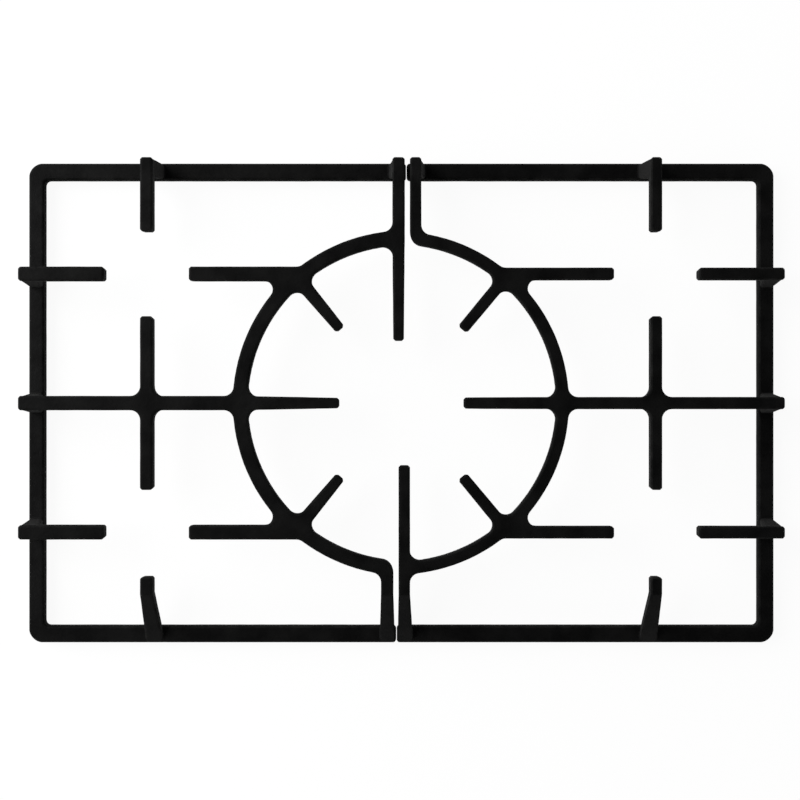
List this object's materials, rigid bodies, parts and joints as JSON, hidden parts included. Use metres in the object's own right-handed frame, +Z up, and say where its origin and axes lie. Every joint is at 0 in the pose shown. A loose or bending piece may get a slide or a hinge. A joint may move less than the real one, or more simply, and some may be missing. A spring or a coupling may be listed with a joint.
{
  "type": "hob pan support set",
  "caption": "Low black cast-iron pan support set for a gas hob, in two interlocking halves on rubber feet, with fingers around each burner and a ring for a wok.",
  "frame": {"origin": "on the hob's surface, under the middle of the wok burner", "axes": "+X to the right of the hob, +Y to its rear, +Z up"},
  "size_m": [0.65, 0.418, 0.041],
  "materials": {
    "enamelled_iron": "matt black enamel",
    "rubber_foot": "matt"
  },
  "bodies": {
    "left_support": {"left_pan_support": "enamelled_iron", "left_rear_outer_foot": "rubber_foot", "left_rear_inner_foot": "rubber_foot", "left_front_outer_foot": "rubber_foot", "left_front_inner_foot": "rubber_foot"},
    "right_support": {"right_pan_support": "enamelled_iron", "right_rear_outer_foot": "rubber_foot", "right_rear_inner_foot": "rubber_foot", "right_front_outer_foot": "rubber_foot", "right_front_inner_foot": "rubber_foot"}
  },
  "joints": [
    {"name": "right_support_lift", "type": "slide", "parent": "left_support", "child": "right_support", "axis": [0, 0, 1], "range_m": [0, 0.12]}
  ]
}
